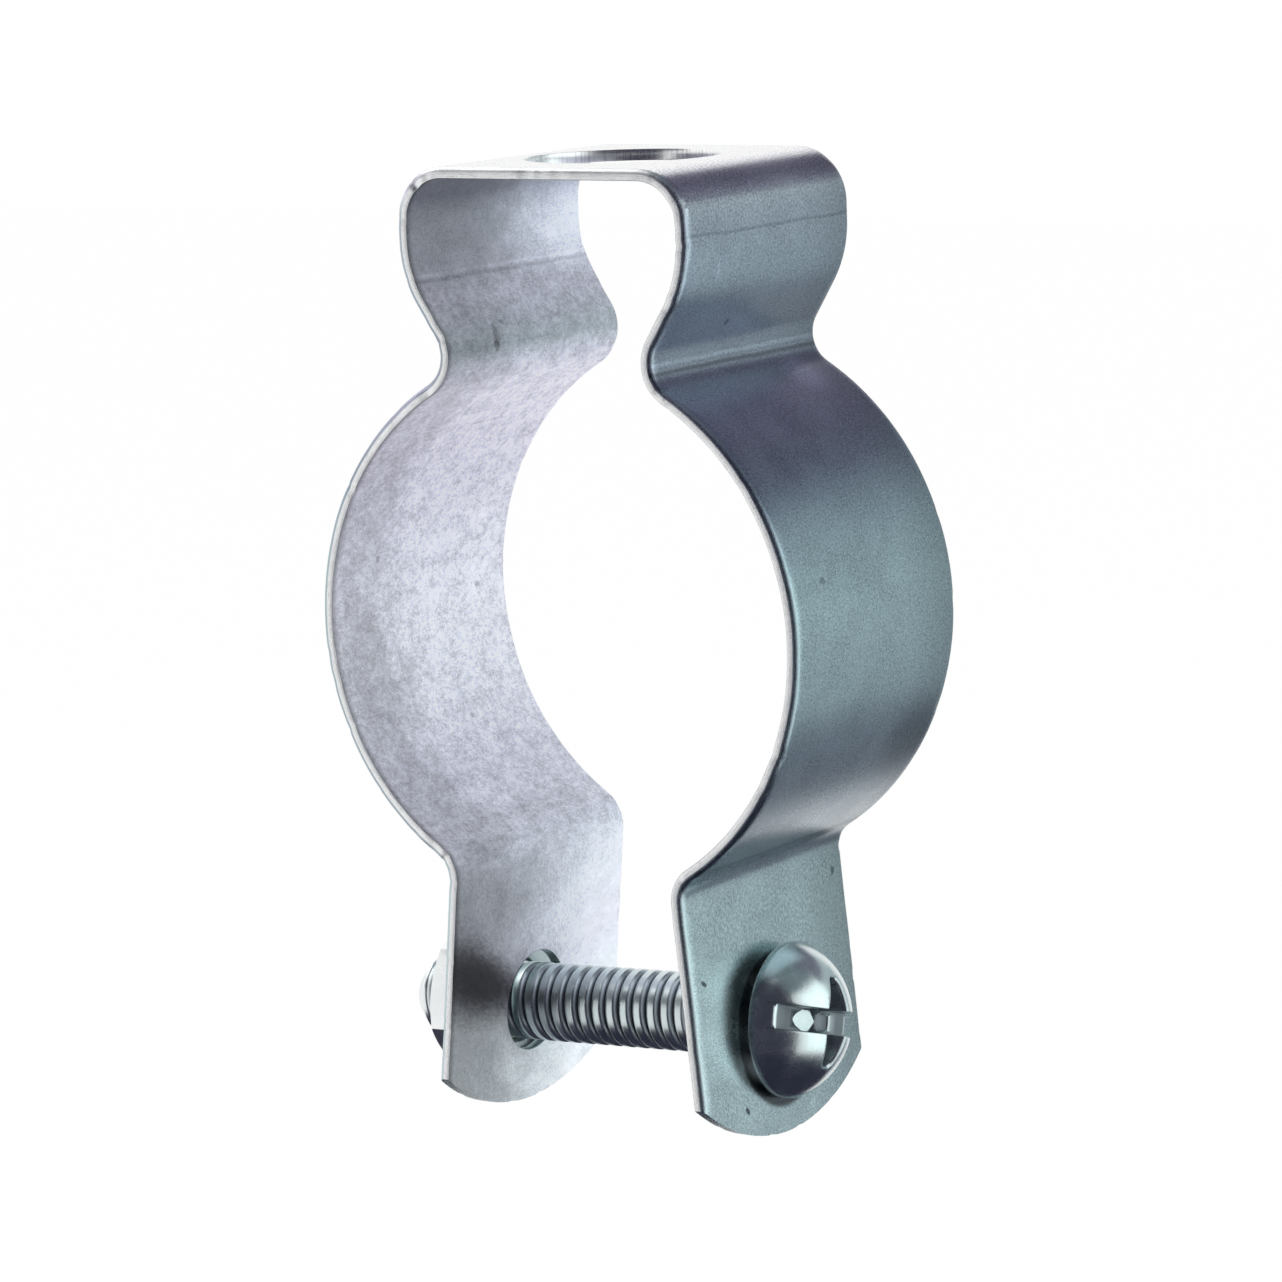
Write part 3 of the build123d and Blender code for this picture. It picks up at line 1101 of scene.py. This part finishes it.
    def fill(self, grid, ring_radius):
        """Lays the dome inside a ring, with the slot and the recess in it."""
        self.build()
        turn = math.radians(SLOT_TURN)
        ring = []
        for j in range(HEAD_COLUMNS):
            spot = heading(2 * math.pi * j / HEAD_COLUMNS - turn) * ring_radius
            ring.append(self.spot(spot, self.dome(spot)))
        self.lines += list(zip(ring, ring[1:] + ring[:1]))
        radius = ring_radius - 0.2
        while radius > 0.2:
            count = max(8, round(2 * math.pi * radius / DOME_SPACING))
            for j in range(count):
                angle = 2 * math.pi * (j + 0.5 * (round(radius / DOME_STEP) % 2)) / count
                spot = heading(angle) * radius
                if self.on_dome(spot):
                    self.spot(spot, self.dome(spot))
            radius -= DOME_STEP
        flat = [spot for spot, depth, dirt in self.spots]
        made, _, faces, origins, _, _ = geometry.delaunay_2d_cdt(flat, self.lines, [], 0, 1e-4)
        numbers = []
        for spot, origin in zip(made, origins):
            depth, dirt = self.spots[origin[0]][1:]
            y = spot.x * math.cos(turn) - spot.y * math.sin(turn)
            z = spot.x * math.sin(turn) + spot.y * math.cos(turn)
            numbers.append(grid.add((self.top - depth, y, z), dirt=dirt))
        for face in faces:
            grid.faces.append(tuple(numbers[i] for i in face))


def build_shank(end, seat):
    """The threaded shank along X, from its flat end to the head's seat."""
    grid = Grid(groove=0.0, dirt=0.0)
    radius = SHANK_DIAMETER / 2
    thread_top = seat - NECK_LENGTH
    columns = THREAD_TURN_STEPS

    def groove_depth(x, turn):
        fade = min(1.0, max(0.0, (thread_top - x) / THREAD_RUNOUT))
        fade = fade * fade * (3 - 2 * fade)
        return thread_profile(x / PITCH - turn) * THREAD_DEPTH * fade

    first = math.floor((end / PITCH - 1) * THREAD_PITCH_STEPS)
    last = math.ceil((thread_top / PITCH + 1) * THREAD_PITCH_STEPS)
    lines = []
    for i in range(first, last + 1):
        line = []
        for j in range(columns + 1):
            turn = j / columns
            x = min(thread_top, max(end, (i / THREAD_PITCH_STEPS + turn) * PITCH))
            low = groove_depth(x, turn)
            r = min(radius - low, radius - SCREW_CHAMFER + (x - end))
            line.append(grid.add(about_x(x, r, turn * 2 * math.pi), groove=low / THREAD_DEPTH))
        lines.append(line)
    for low, high in zip(lines, lines[1:]):
        for j in range(columns):
            corners = (low[j], low[j + 1], high[j + 1], high[j])
            spread = {round(grid.points[k].x, 6) for k in corners}
            if len(spread) > 1:
                grid.faces.append(corners)
    centre = grid.add((end, 0, 0))
    tip = grid.ring(end, radius - SCREW_CHAMFER, columns)
    for j in range(columns):
        grid.faces.append((tip[(j + 1) % columns], tip[j], centre))
    return grid


def add_head(grid, seat, top):
    """Neck, flat seat, rim and dome, on top of the shank."""
    head = Head(seat, top)
    radius, half = SHANK_DIAMETER / 2, head.half
    neck = grid.ring(seat - NECK_LENGTH, radius, THREAD_TURN_STEPS)
    fillet = grid.ring(seat - 0.06, radius + 0.01, THREAD_TURN_STEPS)
    grid.bridge(neck, fillet, closed=True)
    foot = radius + NECK_ROUND
    section = [(seat, foot + (half - 0.14 - radius) * i / 6) for i in range(7)]
    section += [(seat + 0.02, half - 0.02), (seat + 0.06, half), (seat + HEAD_RIM * 0.6, half)]
    corner = head.centre + (head.radius - HEAD_RIM_ROUND) * math.cos(head.rim)
    for step in range(5):
        angle = math.pi / 2 - (math.pi / 2 - head.rim) * step / 4
        section.append((
            corner + HEAD_RIM_ROUND * math.cos(angle),
            half - HEAD_RIM_ROUND + HEAD_RIM_ROUND * math.sin(angle),
        ))
    for step in (1, 2):
        angle = head.rim * (1 - 0.02 * step)
        section.append((head.centre + head.radius * math.cos(angle), head.radius * math.sin(angle)))
    rings = [grid.ring(x, r, HEAD_COLUMNS) for x, r in section]
    for a, b in zip(rings, rings[1:]):
        grid.bridge(a, b, closed=True)
    grid.stitch(fillet, rings[0])
    head.fill(grid, section[-1][1])


def hexagon_reach(aside):
    """Distance from the middle to the hexagon's side, at an angle aside from the middle of a flat."""
    apothem = NUT_ACROSS_FLATS / 2
    inner = apothem - NUT_CORNER_ROUND
    if abs(aside) < math.atan(inner * math.tan(math.pi / 6) / apothem):
        return apothem / math.cos(aside)
    middle = inner / math.cos(math.pi / 6)
    off = math.pi / 6 - abs(aside)
    return middle * math.cos(off) + math.sqrt(NUT_CORNER_ROUND**2 - (middle * math.sin(off)) ** 2)


def build_nut(seat, thickness):
    """The hex nut along X from its seat: threaded bore, countersinks, turned faces and six flats.

    Its thread stands in the grooves of the screw's."""
    grid = Grid()
    face_radius, bore_radius = NUT_FACE_SHARE * NUT_ACROSS_FLATS / 2, NUT_BORE / 2
    slope = math.tan(math.radians(NUT_CORNER_SLOPE))
    mouth = bore_radius + NUT_COUNTERSINK
    rings = []
    bore_steps = round(thickness / PITCH * NUT_THREAD_STEPS)
    for step in range(NUT_COLUMNS):
        angle = 360 * step / NUT_COLUMNS
        reach = hexagon_reach(math.radians((angle + 30) % 60 - 30))
        turn = math.radians(angle - 30 - NUT_TURN)
        low = (reach - face_radius) * slope
        profile = [
            (0.0, mouth),
            (0.0, (mouth + face_radius) / 2),
            (0.0, face_radius - 0.5 * NUT_EDGE_ROUND),
            (0.02, face_radius + 0.3 * NUT_EDGE_ROUND),
            (low - 0.6 * NUT_EDGE_ROUND, reach - 0.6 * NUT_EDGE_ROUND / slope),
            (low + 0.05 * NUT_EDGE_ROUND, reach - 0.12 * NUT_EDGE_ROUND),
            (low + 0.6 * NUT_EDGE_ROUND, reach),
        ]
        profile += [(thickness - x, r) for x, r in reversed(profile)]
        for i in range(bore_steps - 1, 0, -1):
            x = thickness * i / bore_steps
            ridge = thread_profile((seat - x) / PITCH - turn / (2 * math.pi))
            thread = bore_radius + NUT_THREAD_DEPTH * (1 - ridge)
            profile.append((x, max(thread, mouth - x, mouth - (thickness - x))))
        rings.append([grid.add(about_x(-x, r, turn)) for x, r in profile])
    for a, b in zip(rings, rings[1:] + rings[:1]):
        grid.bridge(a, b, closed=True)
    return grid


def show(name, mesh, body, node, material, place=None):
    thing = linked(name, mesh)
    if place is not None:
        thing.matrix_world = place
    thing.data.materials.append(material)
    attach(thing, body)
    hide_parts(node)


add_camera()
add_world()
add_floor()
add_lamp()
for panel in PANELS:
    add_panel(*panel)

strip = build_strap().solid("strip", 0.001, 35)
show("strip", strip, "strap", "strap", galvanised_strip())

screw_joint = next(joint for joint in frame["joints"] if joint["name"] == "screw_turn")
screw_middle = Vector(screw_joint["pos_m"])
screw_along = Vector(screw_joint["axis"]).normalized()
screw_up = screw_along.cross(Vector((0, 1, 0)))
axes = Matrix((screw_along, screw_up.cross(screw_along), screw_up)).transposed()
screw_place = Matrix.Translation(screw_middle) @ axes.to_4x4()
screw_end, _ = axial_places("screw", screw_middle, screw_along)
head_seat, _ = axial_places("screw", screw_middle, screw_along, beyond=0.9 * HEAD_DIAMETER / 2 * MM)
nut_end, nut_seat = axial_places("nut", screw_middle, screw_along)
screw_grid = build_shank(screw_end, head_seat)
add_head(screw_grid, head_seat, head_seat + HEAD_HEIGHT)
screw_mesh = screw_grid.solid("machine_screw", 0.002, 40)
show("machine_screw", screw_mesh, "screw", "screw",
     zinc_screw(head_seat, nut_end), screw_place)
nut_mesh = build_nut(nut_seat, nut_seat - nut_end).solid("hex_nut", 0.002, 35)
show("hex_nut", nut_mesh, "nut", "nut",
     zinc_nut(), screw_place @ Matrix.Translation((nut_seat * MM, 0, 0)))

bpy.context.scene.view_settings.view_transform = "Standard"
